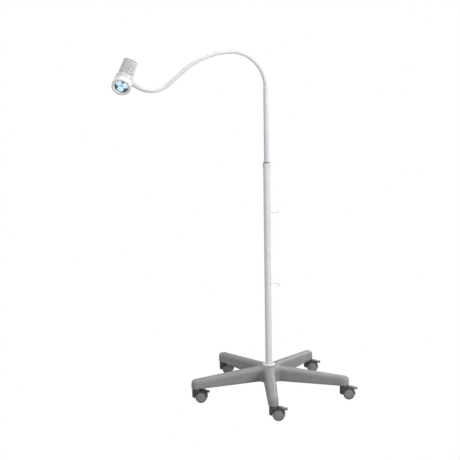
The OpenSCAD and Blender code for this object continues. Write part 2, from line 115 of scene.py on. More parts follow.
def noiseOf(tree, vector, scale, detail=2.0):
    noise = tree.nodes.new("ShaderNodeTexNoise")
    noise.inputs["Scale"].default_value = scale
    noise.inputs["Detail"].default_value = detail
    tree.links.new(vector, noise.inputs["Vector"])
    return noise.outputs["Fac"]


def rampOf(tree, value, low, high, fromLow=0.3, fromHigh=0.7):
    ramp = tree.nodes.new("ShaderNodeMapRange")
    for key, number in (("From Min", fromLow), ("From Max", fromHigh), ("To Min", low), ("To Max", high)):
        ramp.inputs[key].default_value = number
    tree.links.new(value, ramp.inputs["Value"])
    return ramp.outputs["Result"]


def blendOf(tree, value, dark, light):
    mix = tree.nodes.new("ShaderNodeMix")
    mix.data_type = "RGBA"
    mix.inputs["A"].default_value = (*dark, 1)
    mix.inputs["B"].default_value = (*light, 1)
    tree.links.new(value, mix.inputs["Factor"])
    return mix.outputs["Result"]


def bumpOf(tree, value, strength, distance, under=None):
    bump = tree.nodes.new("ShaderNodeBump")
    bump.inputs["Strength"].default_value = strength
    bump.inputs["Distance"].default_value = distance
    tree.links.new(value, bump.inputs["Height"])
    if under is not None:
        tree.links.new(under, bump.inputs["Normal"])
    return bump.outputs["Normal"]


grainSpec = dict(mottle=3, smudge=3.3, smudgeDetail=4, waveScale=45, waveDepth=0.0004)


def finishOf(name, colour, spread=0.05, rough=0.4, roughSpread=0.06, grain=1400, bump=0.2, cloud=18,
             metallic=0.0, coat=0.0, coatRough=0.15, stretch=(1, 1, 1), depth=0.00008, wave=0.0):
    material, tree, shader = newMaterial(name)
    vector = coordsOf(tree)
    fine = coordsOf(tree, stretch)
    mottle = rampOf(tree, noiseOf(tree, vector, cloud, grainSpec["mottle"]), 0, 1)
    dark = [c * (1 - spread) for c in colour]
    light = [min(1, c * (1 + spread)) for c in colour]
    tree.links.new(blendOf(tree, mottle, dark, light), shader.inputs["Base Color"])
    smudge = noiseOf(tree, vector, cloud * grainSpec["smudge"], grainSpec["smudgeDetail"])
    smudge = rampOf(tree, smudge, rough - roughSpread, rough + roughSpread)
    tree.links.new(smudge, shader.inputs["Roughness"])
    normal = bumpOf(tree, noiseOf(tree, fine, grain, 2), bump, depth)
    if wave:  # slight unevenness of a moulded face
        swell = noiseOf(tree, vector, grainSpec["waveScale"], 1)
        normal = bumpOf(tree, swell, wave, grainSpec["waveDepth"], normal)
    tree.links.new(normal, shader.inputs["Normal"])
    shader.inputs["Metallic"].default_value = metallic
    shader.inputs["Coat Weight"].default_value = coat
    shader.inputs["Coat Roughness"].default_value = coatRough
    return material


sleeveLook = dict(mottle=25, spread=0.94, smudge=90, rough=(0.34, 0.48), grain=1500, grainBump=0.12,
                  grainDepth=0.00006, ribDepth=0.0002)


def sleeveFinish(name, colour, ribs, ribBump, look):
    material, tree, shader = newMaterial(name)
    along = coordsOf(tree, alongPiece=True)
    vector = coordsOf(tree)
    rings = tree.nodes.new("ShaderNodeTexWave")
    rings.bands_direction = "Y"
    rings.inputs["Scale"].default_value = ribs
    tree.links.new(along, rings.inputs["Vector"])
    mottle = rampOf(tree, noiseOf(tree, vector, look["mottle"], 3), 0, 1)
    dark = [c * look["spread"] for c in colour]
    tree.links.new(blendOf(tree, mottle, dark, colour), shader.inputs["Base Color"])
    smudge = rampOf(tree, noiseOf(tree, vector, look["smudge"], 3), *look["rough"])
    tree.links.new(smudge, shader.inputs["Roughness"])
    grain = bumpOf(tree, noiseOf(tree, vector, look["grain"], 2), look["grainBump"], look["grainDepth"])
    normal = bumpOf(tree, rings.outputs["Fac"], ribBump, look["ribDepth"], grain)
    tree.links.new(normal, shader.inputs["Normal"])
    return material


clearLook = dict(haze=60, spread=0.93, rough=(0.6, 1.5), bend=1.49, facetBump=0.5, facetDepth=0.0006,
                 hazeBump=0.03, hazeDepth=0.0001)


def clearFinish(name, colour, rough, look, glow=None, power=0.0, cells=0, through=1.0):
    material, tree, shader = newMaterial(name)
    vector = coordsOf(tree)
    haze = noiseOf(tree, vector, look["haze"], 3)
    tint = blendOf(tree, rampOf(tree, haze, 0, 1), [c * look["spread"] for c in colour], colour)
    tree.links.new(tint, shader.inputs["Base Color"])
    tree.links.new(rampOf(tree, haze, *(rough * k for k in look["rough"])), shader.inputs["Roughness"])
    shader.inputs["Transmission Weight"].default_value = through
    shader.inputs["IOR"].default_value = look["bend"]
    if cells:  # small optical facets
        facets = tree.nodes.new("ShaderNodeTexVoronoi")
        facets.inputs["Scale"].default_value = cells
        tree.links.new(vector, facets.inputs["Vector"])
        normal = bumpOf(tree, facets.outputs["Distance"], look["facetBump"], look["facetDepth"])
    else:
        normal = bumpOf(tree, haze, look["hazeBump"], look["hazeDepth"])
    tree.links.new(normal, shader.inputs["Normal"])
    if glow:
        shader.inputs["Emission Color"].default_value = (*glow, 1)
        shader.inputs["Emission Strength"].default_value = power
    return material


finishes = dict(
    base_plastic=finishOf("basePlastic", (0.285, 0.285, 0.288), 0.06, 0.42, grain=1100, bump=0.35, wave=0.10),
    castor_plastic=finishOf("castorPlastic", (0.07, 0.07, 0.073), 0.08, 0.4, grain=1300, bump=0.3),
    wheel_nylon=finishOf("wheelNylon", (0.16, 0.16, 0.162), 0.08, 0.45, grain=1500, bump=0.3),
    wheel_cap=finishOf("wheelCap", (0.25, 0.25, 0.252), 0.05, 0.38, grain=1500, bump=0.25),
    steel=finishOf("zincSteel", (0.62, 0.63, 0.64), 0.08, 0.32, metallic=1, stretch=(1, 1, 0.05)),
    stem_steel=finishOf("stemSteel", (0.62, 0.63, 0.64), 0.08, 0.3, metallic=1, stretch=(1, 1, 9)),
    screw_steel=finishOf("screwSteel", (0.66, 0.66, 0.66), 0.06, 0.28, metallic=1, grain=2500),
    mast_paint=finishOf("mastPaint", (0.80, 0.80, 0.79), 0.02, 0.28, 0.05, 420, 0.10, coat=0.5,
                        coatRough=0.1, depth=0.00012),
    upper_paint=finishOf("upperPaint", (0.74, 0.74, 0.78), 0.02, 0.26, 0.05, 420, 0.10, coat=0.5,
                         coatRough=0.1, depth=0.00012),
    white_plastic=finishOf("whitePlastic", (0.80, 0.80, 0.79), 0.02, 0.36, grain=1500, bump=0.15, wave=0.05),
    bush_plastic=finishOf("bushPlastic", (0.60, 0.59, 0.55), 0.05, 0.5, grain=1500),
    black_rubber=finishOf("blackRubber", (0.018, 0.018, 0.02), 0.2, 0.6, grain=1800, bump=0.4),
    neck_sleeve=sleeveFinish("neckSleeve", (0.82, 0.82, 0.83), 160, 0.03, sleeveLook),
    neck_steel=finishOf("neckSteel", (0.45, 0.45, 0.46), 0.1, 0.4, metallic=1, grain=1600),
    head_white=finishOf("headWhite", (0.79, 0.785, 0.77), 0.02, 0.38, grain=1500, bump=0.15, wave=0.05),
    # painted light: the front ring is the same white plastic as the housing, painted paler so its down-facing
    # face reads as brightly lit
    ring_painted_light=finishOf("ringPaintedLight", (0.90, 0.89, 0.89), 0.02, 0.34, grain=1500, bump=0.15, wave=0.05),
    window=clearFinish("clearWindow", (0.90, 0.97, 1.0), 0.03, clearLook),
    lens=clearFinish("clearLens", (0.88, 0.95, 1.0), 0.10, clearLook, (0.72, 0.88, 1.0), 0.42, 900,
                     0.6),
    lens_holder=finishOf("lensHolder", (0.26, 0.33, 0.41), 0.2, 0.25, grain=1500, coat=0.4),
    circuit_board=finishOf("circuitBoard", (0.02, 0.12, 0.05), 0.2, 0.35, grain=900, coat=0.3),
    led=finishOf("ledPhosphor", (0.85, 0.72, 0.18), 0.1, 0.3, grain=2500),
    sink_alloy=finishOf("sinkAlloy", (0.79, 0.775, 0.80), 0.04, 0.42, grain=900, bump=0.2),
    cap_grey=finishOf("capGrey", (0.66, 0.64, 0.665), 0.05, 0.42, grain=1200, bump=0.25),
)
print("materials ready")


# shared ways of making meshes

meshSpec = dict(meld=0.000002, sliver=0.0000005, sharp=38, arcSteps=5)


def meshPiece(name, points, faces, matrix=None, sharp=meshSpec["sharp"]):
    mesh = bpy.data.meshes.new(name)
    mesh.from_pydata([tuple(p) for p in points], [], faces)
    shape = bmesh.new()
    shape.from_mesh(mesh)
    bmesh.ops.remove_doubles(shape, verts=shape.verts, dist=meshSpec["meld"])
    bmesh.ops.dissolve_degenerate(shape, edges=shape.edges, dist=meshSpec["sliver"])
    if matrix is not None:
        bmesh.ops.transform(shape, matrix=matrix, verts=shape.verts)
    bmesh.ops.recalc_face_normals(shape, faces=shape.faces)
    shape.to_mesh(mesh)
    shape.free()
    return shadedPiece(name, mesh, sharp)


def shadedPiece(name, mesh, sharp=meshSpec["sharp"]):
    mesh.shade_smooth()
    mesh.set_sharp_from_angle(angle=math.radians(sharp))
    piece = bpy.data.objects.new(name, mesh)
    scene.collection.objects.link(piece)
    return piece


def put(piece, body, slot, *nodes, finish=None):
    piece.data.materials.clear()
    piece.data.materials.append(finishes[finish or slot])
    if nodes:
        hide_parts(*nodes)
    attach(piece, body)
    return piece


# corners are (radius from the axis, height, rounding of the corner)
def rounded(corners):
    path = []
    count = len(corners)
    steps = meshSpec["arcSteps"]
    for i, (x, z, radius) in enumerate(corners):
        here = Vector((x, z))
        if not radius:
            path.append((x, z))
            continue
        before = Vector(corners[i - 1][:2]) - here
        after = Vector(corners[(i + 1) % count][:2]) - here
        half = before.angle(after) / 2
        reach = min(radius / math.tan(half), 0.49 * before.length, 0.49 * after.length)
        radius = reach * math.tan(half)
        inward = (before.normalized() + after.normalized()).normalized()
        middle = here + inward * radius / math.sin(half)
        first = here + before.normalized() * reach - middle
        turn = first.angle_signed(here + after.normalized() * reach - middle)
        for k in range(steps + 1):
            spoke = first.copy()
            spoke.rotate(Matrix.Rotation(-turn * k / steps, 2))
            path.append(tuple(middle + spoke))
    return path


def anglesOf(steps):
    return [2 * math.pi * k / steps for k in range(steps)]


def ringBands(rings, loop=True):
    points = [p for ring in rings for p in ring]
    size = len(rings[0])
    faces = []
    for i in range(len(rings) if loop else len(rings) - 1):
        j = (i + 1) % len(rings)
        for k in range(size):
            n = (k + 1) % size
            faces.append((i * size + k, i * size + n, j * size + n, j * size + k))
    return points, faces


def addEnds(points, faces, size):
    faces.append(tuple(reversed(range(size))))
    faces.append(tuple(range(len(points) - size, len(points))))


def turned(name, corners, matrix=None, steps=96, loop=True):
    rings = [[(x * math.cos(a), x * math.sin(a), z) for a in anglesOf(steps)]
             for x, z in rounded(corners)]
    points, faces = ringBands(rings, loop)
    return meshPiece(name, points, faces, matrix)


def copiesTree():
    tree = bpy.data.node_groups.new("copiesInSteps", "GeometryNodeTree")
    face = tree.interface
    face.new_socket("Shape", in_out="INPUT", socket_type="NodeSocketGeometry")
    for label, kind in (("Copies", "NodeSocketInt"), ("Turn step", "NodeSocketFloat"),
                        ("Move step", "NodeSocketVector"), ("Finish", "NodeSocketMaterial")):
        face.new_socket(label, in_out="INPUT", socket_type=kind)
    face.new_socket("Shape", in_out="OUTPUT", socket_type="NodeSocketGeometry")
    make, link = tree.nodes.new, tree.links.new
    given, result = make("NodeGroupInput"), make("NodeGroupOutput")
    dots, index = make("GeometryNodePoints"), make("GeometryNodeInputIndex")
    turn, move = make("ShaderNodeMath"), make("ShaderNodeVectorMath")
    turn.operation, move.operation = "MULTIPLY", "SCALE"
    spin, copies = make("ShaderNodeCombineXYZ"), make("GeometryNodeInstanceOnPoints")
    real, paint = make("GeometryNodeRealizeInstances"), make("GeometryNodeSetMaterial")
    link(given.outputs["Copies"], dots.inputs["Count"])
    link(index.outputs[0], turn.inputs[0])
    link(given.outputs["Turn step"], turn.inputs[1])
    link(turn.outputs[0], spin.inputs["Z"])
    link(given.outputs["Move step"], move.inputs[0])
    link(index.outputs[0], move.inputs["Scale"])
    link(move.outputs[0], dots.inputs["Position"])
    link(dots.outputs[0], copies.inputs["Points"])
    link(given.outputs["Shape"], copies.inputs["Instance"])
    link(spin.outputs[0], copies.inputs["Rotation"])
    link(copies.outputs[0], real.inputs[0])
    link(real.outputs[0], paint.inputs["Geometry"])
    link(given.outputs["Finish"], paint.inputs["Material"])
    link(paint.outputs[0], result.inputs[0])
    return tree


stepTree = copiesTree()


def repeated(piece, name, copies, finish, turnStep=0.0, moveStep=(0, 0, 0), matrix=None):
    modifier = piece.modifiers.new("copies", "NODES")
    modifier.node_group = stepTree
    names = {s.name: s.identifier for s in stepTree.interface.items_tree if s.in_out == "INPUT"}
    modifier[names["Copies"]] = copies
    modifier[names["Turn step"]] = turnStep
    modifier[names["Move step"]] = moveStep
    modifier[names["Finish"]] = finishes[finish]
    bpy.context.view_layer.update()
    seen = piece.evaluated_get(bpy.context.evaluated_depsgraph_get())
    mesh = bpy.data.meshes.new_from_object(seen)
    if matrix is not None:
        mesh.transform(matrix)
    mesh.name = name
    bpy.data.objects.remove(piece)
    return shadedPiece(name, mesh)


# base

baseSpec = dict(arms=5, turn=3, reach=0.345, tipHalf=0.022, rootHalf=0.0262, filletR=0.021, low=0.064,
                tipTop=0.104, rootTop=0.127, rootAt=0.049, hubTop=0.131, hubR=0.031, crown=0.019,
                edge=0.011, power=2.5, wall=0.0035, boreR=0.019, boreLift=0.002, lip=0.0008,
                footEase=0.0006, skirtH=0.012, skirtIn=0.0003, filletSteps=12, onHub=0.7,
                sideSteps=31, tipSteps=10, edgeShares=(0.0, 0.01, 0.03, 0.07, 0.12, 0.19, 0.28, 0.38, 0.5),
                crownSteps=5, hubParts=(0.0, 0.35, 0.7, 1.0), sharp=50)


def armAngle(k):
    return math.radians(baseSpec["turn"] - 90 + 72 * k)


def pointOn(angle):
    return Vector((math.cos(angle), math.sin(angle)))


def armTop(radius, spec):
    slope = (spec["rootTop"] - spec["tipTop"]) / (spec["reach"] - spec["rootAt"])
    height = spec["tipTop"] + slope * (spec["reach"] - radius)
    if radius < spec["rootAt"]:
        near = min(1, (spec["rootAt"] - radius) / (spec["rootAt"] - spec["hubR"]))
        rise = spec["hubTop"] - (spec["tipTop"] + slope * (spec["reach"] - spec["hubR"]))
        rise += slope * (radius - spec["hubR"]) if radius < spec["hubR"] else 0
        height += rise * near * near * (3 - 2 * near)
    return height


# outline of one arm from fillet to fillet; a row is a point, its outward direction
# and the spot that the crown above it closes on
def armOutline(spec):
    lean = math.asin((spec["rootHalf"] - spec["tipHalf"]) / spec["reach"])
    out = Vector((math.sin(lean), math.cos(lean)))
    sector = math.radians(180 / spec["arms"])
    edgeAt = spec["reach"] * out.x + spec["tipHalf"]
    far = (edgeAt + spec["filletR"]) / math.sin(sector + lean)
    centre = pointOn(sector) * far
    filletFrom = math.atan2(-math.sin(sector), -math.cos(sector))
    filletTo = math.atan2(-out.y, -out.x)
    if filletTo < filletFrom:
        filletTo += 2 * math.pi
    tip = Vector((spec["reach"], 0))
    sideFrom = centre - out * spec["filletR"]
    sideTo = tip + out * spec["tipHalf"]
    rows = []
    hubR, onHub = spec["hubR"], spec["onHub"]
    for k in range(spec["filletSteps"] + 1):
        part = k / spec["filletSteps"]
        spoke = pointOn(filletFrom + (filletTo - filletFrom) * part)
        if part < onHub:
            goal = pointOn(sector * (1 - part / onHub)) * hubR
        else:
            goal = Vector((hubR + (sideFrom.x - hubR) * (part - onHub) / (1 - onHub), 0))
        rows.append((centre + spoke * spec["filletR"], -spoke, goal))
    for k in range(1, spec["sideSteps"]):
        part = k / spec["sideSteps"]
        goal = Vector((sideFrom.x + (spec["reach"] - sideFrom.x) * part, 0))
        rows.append((sideFrom.lerp(sideTo, part), out, goal))
    for k in range(spec["tipSteps"] + 1):
        spoke = pointOn(math.atan2(out.y, out.x) * (1 - k / spec["tipSteps"]))
        rows.append((tip + spoke * spec["tipHalf"], spoke, tip))
    mirrored = [tuple(Vector((v.x, -v.y)) for v in row) for row in reversed(rows)]
    return rows + mirrored[1:-1]


def baseRings(spec, inset):
    outline = armOutline(spec)
    lowZ, edge, lip = spec["low"], spec["edge"], spec["lip"]

    def ringAt(offset, height=None, share=None, toGoal=0.0):
        ring = []
        for k in reversed(range(spec["arms"])):
            spin = Matrix.Rotation(armAngle(k), 2)
            for at, out, goal in outline:
                spot = (at - out * (inset + offset)).lerp(goal, toGoal)
                z = height
                if height is None:
                    arch = (1 - (1 - share) ** spec["power"]) ** (1 / spec["power"])
                    z = armTop(spot.length, spec) - inset - (spec["crown"] - inset) * (1 - arch)
                ring.append((*(spin @ spot), z))
        return ring

    rings = [ringAt(spec["footEase"], lowZ), ringAt(0.0, lowZ + spec["footEase"]),
             ringAt(spec["skirtIn"], lowZ + spec["skirtH"])]
    last = spec["edgeShares"][-1]
    for share in spec["edgeShares"]:
        rings.append(ringAt(lip + (edge - lip) * share / last, None, share))
    for k in range(spec["crownSteps"]):
        part = (k + 1) / spec["crownSteps"]
        rings.append(ringAt(edge, None, last + (1 - last) * part, part))
    return rings


def hubCircle(spec):
    same = 1e-6
    spots = []
    for k in reversed(range(spec["arms"])):
        spin = Matrix.Rotation(armAngle(k), 2)
        for _, _, goal in armOutline(spec):
            spot = spin @ goal
            if goal.length < spec["hubR"] + same and not (spots and (spots[-1] - spot).length < same):
                spots.append(spot)
    if (spots[0] - spots[-1]).length < same:
        spots.pop()
    return spots


def makeBase(spec):
    points, faces = [], []

    def addBands(rings):
        more, bands = ringBands(rings, loop=False)
        first = len(points)
        points.extend(more)
        faces.extend(tuple(k + first for k in band) for band in bands)

    addBands(baseRings(spec, spec["wall"])[::-1] + baseRings(spec, 0.0))
    circle = hubCircle(spec)
    rims = []
    for inset in (0.0, spec["wall"]):
        rings = []
        for part in spec["hubParts"]:
            radius = spec["hubR"] + (spec["boreR"] + inset - spec["hubR"]) * part
            ring = []
            for spot in circle:
                at = spot.normalized() * radius
                ring.append((at.x, at.y, armTop(radius if part else spot.length, spec) - inset))
            rings.append(ring)
        addBands(rings)
        rims.append(rings[-1])
    bore, sleeve = rims
    lowZ = spec["low"] + spec["boreLift"]
    addBands([bore, *([(x, y, lowZ) for x, y, _ in rim] for rim in rims), sleeve])
    return meshPiece("baseMoulding", points, faces, sharp=spec["sharp"])


put(makeBase(baseSpec), "root", "base_plastic", "star_base")

ribSpec = dict(count=5, first=0.085, step=0.052, thick=0.0022, low=0.068, high=0.098, half=0.0195,
               topShare=0.97, edge=0.0005)
bossSpec = dict(outR=0.0118, inR=0.0078, low=0.0655, high=0.095, draft=0.0006, steps=48)


def makeRibs(spec, boss, base):
    thick = spec["thick"] / 2
    wedge = []
    for z, half in ((spec["low"], spec["half"]), (spec["high"], spec["half"] * spec["topShare"])):
        wedge += [(-thick, -half, z), (thick, -half, z), (thick, half, z), (-thick, half, z)]
    sides = [(0, 3, 2, 1), (4, 5, 6, 7), (0, 1, 5, 4), (1, 2, 6, 5), (2, 3, 7, 6), (3, 0, 4, 7)]
    inR, outR, low, high = boss["inR"], boss["outR"], boss["low"], boss["high"]
    corners = [(inR, low, 0.0004), (outR, low, 0.001), (outR + boss["draft"], high, 0), (inR, high, 0)]
    for k in range(base["arms"]):
        rib = meshPiece("rib", wedge, sides)
        cut = rib.modifiers.new("edges", "BEVEL")
        cut.width, cut.segments = spec["edge"], 2
        turn = Matrix.Rotation(armAngle(k), 4, "Z")
        start = turn @ Matrix.Translation((spec["first"], 0, 0))
        step = (spec["step"], 0, 0)
        row = repeated(rib, f"armRibs_{k + 1}", spec["count"], "base_plastic", moveStep=step, matrix=start)
        put(row, "root", "base_plastic")
        place = turn @ Matrix.Translation((base["reach"], 0, 0))
        put(turned(f"tipBoss_{k + 1}", corners, place, boss["steps"]), "root", "base_plastic")


makeRibs(ribSpec, bossSpec, baseSpec)
print("base ready")


# mast

mastSpec = dict(lowerR=0.015, lowerIn=0.0135, lowerFoot=0.076, lowerTop=1.040, upperR=0.011, upperIn=0.0098,
                upperFoot=0.738, upperTop=1.358, edge=0.0003, lowerEdge=0.0004, steps=128)
flangeSpec = dict(r=0.029, z=0.131, high=0.005, rim=0.0028, play=0.0001)
collarSpec = dict(skirt=0.011, high=0.008, out=0.0025, inR=0.0113, play=0.0003, step=0.0063)
sealSpec = dict(high=0.003, steps=96)


def makeTube(name, outR, inR, foot, top, edges, steps):
    inner, outer, upper = edges
    corners = [(inR, foot, inner), (outR, foot, outer), (outR, top, upper), (inR, top, inner)]
    return turned(name, corners, steps=steps)


def makeMast(spec, flange, collar, seal):
    steps, edge, soft = spec["steps"], spec["edge"], spec["lowerEdge"]
    r = spec["lowerR"]
    lower = makeTube("lowerMast", r, spec["lowerIn"], spec["lowerFoot"], spec["lowerTop"],
                     (edge, soft, soft), steps)
    put(lower, "root", "mast_paint", "lower_tube")

    z, top, near = flange["z"], flange["z"] + flange["high"], r + flange["play"]
    corners = [(near, z, 0.0002), (flange["r"], z, 0.0006), (flange["r"], z + flange["rim"], 0.0016),
               (flange["r"] - 0.006, top - 0.0002, 0.004), (r + 0.003, top, 0.001), (near, top, 0.0008)]
    put(turned("baseFlange", corners, steps=steps), "root", "white_plastic", "base_flange")

    z, inR, near = spec["lowerTop"], collar["inR"], r + collar["play"]
    foot, top, far = z - collar["skirt"], z + collar["high"], r + collar["out"]
    corners = [(near, foot, 0.0002), (r + 0.0012, foot, 0.0005), (far, foot + 0.0015, 0.001),
               (far, z + 0.0045, 0.0015), (r + 0.0012, top, 0.0012), (inR, top, 0.0003),
               (inR, z + collar["step"], 0), (near, z + collar["step"], 0)]
    put(turned("clampCollar", corners, steps=steps), "clamp", "white_plastic", "clamp_collar")

    rim, far = top + seal["high"], r - 0.0002
    corners = [(inR, top, 0.0002), (far, top, 0.0003), (far, top + 0.0018, 0.0009),
               (inR + 0.0009, rim, 0.0008), (inR, rim, 0.0002)]
    put(turned("sealRing", corners, steps=seal["steps"]), "clamp", "black_rubber", "seal_ring")

    upper = makeTube("upperMast", spec["upperR"], spec["upperIn"], spec["upperFoot"], spec["upperTop"],
                     (edge, edge, edge), steps)
    put(upper, "mast", "upper_paint", "upper_tube")


makeMast(mastSpec, flangeSpec, collarSpec, sealSpec)

hookSpec = dict(wire=0.002, reach=0.051, bend=0.006, tip=0.012, startX=0.0135, upperZ=0.828, lowerZ=0.508,
                sides=20, bendSteps=10, tipSteps=6, finest=0.00005, roseR=0.0045, roseSides=40)


def sweptTube(name, path, radii, sides, matrix):
    normal = None
    rings = []
    for i, at in enumerate(path):
        ahead = Vector(path[min(i + 1, len(path) - 1)]) - Vector(path[max(i - 1, 0)])
        ahead.normalize()
        if normal is None:
            normal = ahead.orthogonal().normalized()
        normal = (normal - ahead * normal.dot(ahead)).normalized()
        other = ahead.cross(normal)
        rings.append([Vector(at) + (normal * math.cos(a) + other * math.sin(a)) * radii[i]
                      for a in anglesOf(sides)])
    points, faces = ringBands(rings, loop=False)
    addEnds(points, faces, sides)
    return meshPiece(name, points, faces, matrix)


def makeHook(name, node, height, up, spec):
    wire, bend, end = spec["wire"], spec["bend"], spec["tip"]
    straight = spec["reach"] - wire - bend
    path = [(spec["startX"], 0, 0), (straight * 0.5, 0, 0), (straight, 0, 0)]
    for k in range(spec["bendSteps"]):
        angle = math.pi / 2 * (k + 1) / spec["bendSteps"]
        path.append((straight + bend * math.sin(angle), 0, up * bend * (1 - math.cos(angle))))
    path.append((path[-1][0], 0, up * (end - 0.001)))
    radii = [wire] * len(path)
    for k in range(spec["tipSteps"]):
        angle = math.pi / 2 * (k + 1) / spec["tipSteps"]
        path.append((path[-1][0], 0, up * (end - 0.0002 + wire * math.sin(angle))))
        radii.append(max(spec["finest"], wire * math.cos(angle)))
    lift = Matrix.Translation((0, 0, height))
    put(sweptTube(name, path, radii, spec["sides"], lift), "root", "mast_paint", node)
    rose = [(0.0021, 0.0148, 0.0002), (spec["roseR"], 0.0149, 0.0002), (spec["roseR"], 0.0158, 0.0006),
            (0.0028, 0.0165, 0.0006), (0.0021, 0.0172, 0.0003)]
    turn = lift @ Matrix.Rotation(math.pi / 2, 4, "Y")
    put(turned(name + "Rose", rose, turn, spec["roseSides"]), "root", "mast_paint")


makeHook("upperHook", "hook_upper", hookSpec["upperZ"], 1, hookSpec)
makeHook("lowerHook", "hook_lower", hookSpec["lowerZ"], -1, hookSpec)
print("mast ready")


# gooseneck

# stretches are (bend radius, degrees), or (length, 0) where the neck runs straight
neckSpec = dict(startZ=1.370, turn=205, stretches=((0.160, 90), (0.350, 38), (0.085, 0), (0.116, -70)),
                soft=(0.060, 0.036, 0.036))
sleeveSpec = dict(outR=0.00873, inR=0.0078, step=0.004, sides=40, coil=0.0, girth=0.055)
coreSpec = dict(outR=0.005, inR=0.0025, step=0.0022, sides=20, coil=0.0006, girth=0.055)
ferruleSpec = dict(lift=0.0003, plug=0.030, plugPlay=0.0013, high=0.022, boreR=0.004, cupR=0.0091, cup=0.0114)
armFrame = (Matrix.Translation((0, 0, neckSpec["startZ"]))
            @ Matrix.Rotation(math.radians(neckSpec["turn"]), 4, "Z"))


def neckLengths(spec):
    return [a * math.radians(abs(b)) if b else a for a, b in spec["stretches"]]


def neckPoint(distance, spec):
    x = z = heading = 0.0
    for (size, bend), length in zip(spec["stretches"], neckLengths(spec)):
        part = min(distance, length)
        if bend:
            way = size if bend > 0 else -size
            cx, cz = x + way * math.cos(heading), z - way * math.sin(heading)
            heading += part / way
            x, z = cx - way * math.cos(heading), cz + way * math.sin(heading)
        else:
            x, z = x + part * math.sin(heading), z + part * math.cos(heading)
        distance -= part
        if distance <= 1e-9:
            break
    return x, z, heading


def neckRing(distance, radius, spec, sides):
    x, z, heading = neckPoint(distance, spec)
    across, side = Vector((math.cos(heading), 0, -math.sin(heading))), Vector((0, 1, 0))
    return [armFrame @ (Vector((x, 0, z)) + (across * math.cos(a) + side * math.sin(a)) * radius)
            for a in anglesOf(sides)]


def neckTube(name, start, stop, look, spec):
    count = max(2, round((stop - start) / look["step"]))
    sides = look["sides"]
    places = [start + (stop - start) * i / count for i in range(count + 1)]
    rings = [neckRing(at, look["outR"] - look["coil"] * (i % 2), spec, sides) for i, at in enumerate(places)]
    rings += [neckRing(at, look["inR"], spec, sides) for at in reversed(places)]
    places += places[::-1]
    points, faces = ringBands(rings)
    mesh = bpy.data.meshes.new(name)
    mesh.from_pydata([tuple(p) for p in points], [], faces)
    layer = mesh.uv_layers.new(name="alongSleeve")
    for face in mesh.polygons:
        columns = [mesh.loops[k].vertex_index % sides for k in face.loop_indices]
        wraps = max(columns) - min(columns) > 1
        for k, column in zip(face.loop_indices, columns):
            u = (sides if wraps and column == 0 else column) / sides
            layer.data[k].uv = (u * look["girth"], places[mesh.loops[k].vertex_index // sides])
    shape = bmesh.new()
    shape.from_mesh(mesh)
    bmesh.ops.recalc_face_normals(shape, faces=shape.faces)
    shape.to_mesh(mesh)
    shape.free()
    return shadedPiece(name, mesh)


def makeNeck(spec):
    lengths = neckLengths(spec)
    joints = [sum(lengths[:k + 1]) for k in range(3)]
    cuts = [0.0, joints[0] + lengths[1] / 2, joints[1] + lengths[2] / 2, sum(lengths)]
    numbers = ((1,), (2, 3), (4,))
    for k in range(3):
        for way in (-1, 1):
            x, z, _ = neckPoint(joints[k] + way * spec["soft"][k], spec)
        for label, node, slot, look in (("neckSleeve", "neck_sleeve", "neck_sleeve", sleeveSpec),
                                        ("neckCore", "neck_core", "neck_steel", coreSpec)):
            tube = neckTube(f"{label}_{k + 1}", cuts[k], cuts[k + 1], look, spec)
            tube.data.materials.append(finishes[slot])
            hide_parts(*(f"{node}_{n}" for n in numbers[k]))
            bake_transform(tube)


def makeFerrule(spec, mast):
    foot, r = mast["upperTop"] + spec["lift"], mast["upperR"]
    low, top, seat, plugR = foot - spec["plug"], foot + spec["high"], foot + spec["cup"], r - spec["plugPlay"]
    corners = [(spec["boreR"], low, 0), (plugR, low, 0.0008), (plugR, foot, 0), (r, foot, 0.0003),
               (r, foot + 0.0175, 0.003), (spec["cupR"] + 0.0003, top, 0.0006), (spec["cupR"], top, 0.0002),
               (spec["cupR"], seat, 0), (spec["boreR"], seat, 0)]
    put(turned("neckFerrule", corners), "neck_1", "white_plastic", "neck_ferrule")


makeNeck(neckSpec)
makeFerrule(ferruleSpec, mastSpec)
print("gooseneck ready")


# head

headSpec = dict(jointGap=0.068, rise=-32, roll=11, tilt=5, turn=73, elbow=-36, bendZ=-0.016)
x, z, heading = neckPoint(sum(neckLengths(neckSpec)), neckSpec)
ahead = Vector((math.sin(heading), 0, math.cos(heading)))
headAt = armFrame @ (Vector((x, 0, z)) + ahead * headSpec["jointGap"])


def rotation(axis, angle):
    return Matrix.Rotation(math.radians(angle), 4, axis)


jointFrame = (Matrix.Translation(headAt) @ rotation("Z", neckSpec["turn"]) @ rotation("Y", headSpec["rise"])
              @ rotation("X", headSpec["roll"]))
headFrame = jointFrame @ rotation("Y", headSpec["tilt"]) @ rotation("Z", headSpec["turn"])
frontFrame = headFrame @ Matrix.Translation((0, 0, headSpec["bendZ"])) @ rotation("Y", headSpec["elbow"])
socketFrame = jointFrame @ rotation("Y", -90)

housingSpec = dict(rearZ=0.010, rearR=0.036, holeR=0.0306, wall=0.0025, straightTo=-0.001, frontZ=-0.023,
                   frontR=0.0387, edge=0.0028, edgeSteps=6, chamfer=0.0003, lap=0.0015, pull=0.9, sides=96,
                   rows=16, sharp=45)


def housingRing(radius, inFront, z, spec):
    where = frontFrame if inFront else headFrame
    return [where @ Vector((radius * math.cos(a), radius * math.sin(a), z)) for a in anglesOf(spec["sides"])]


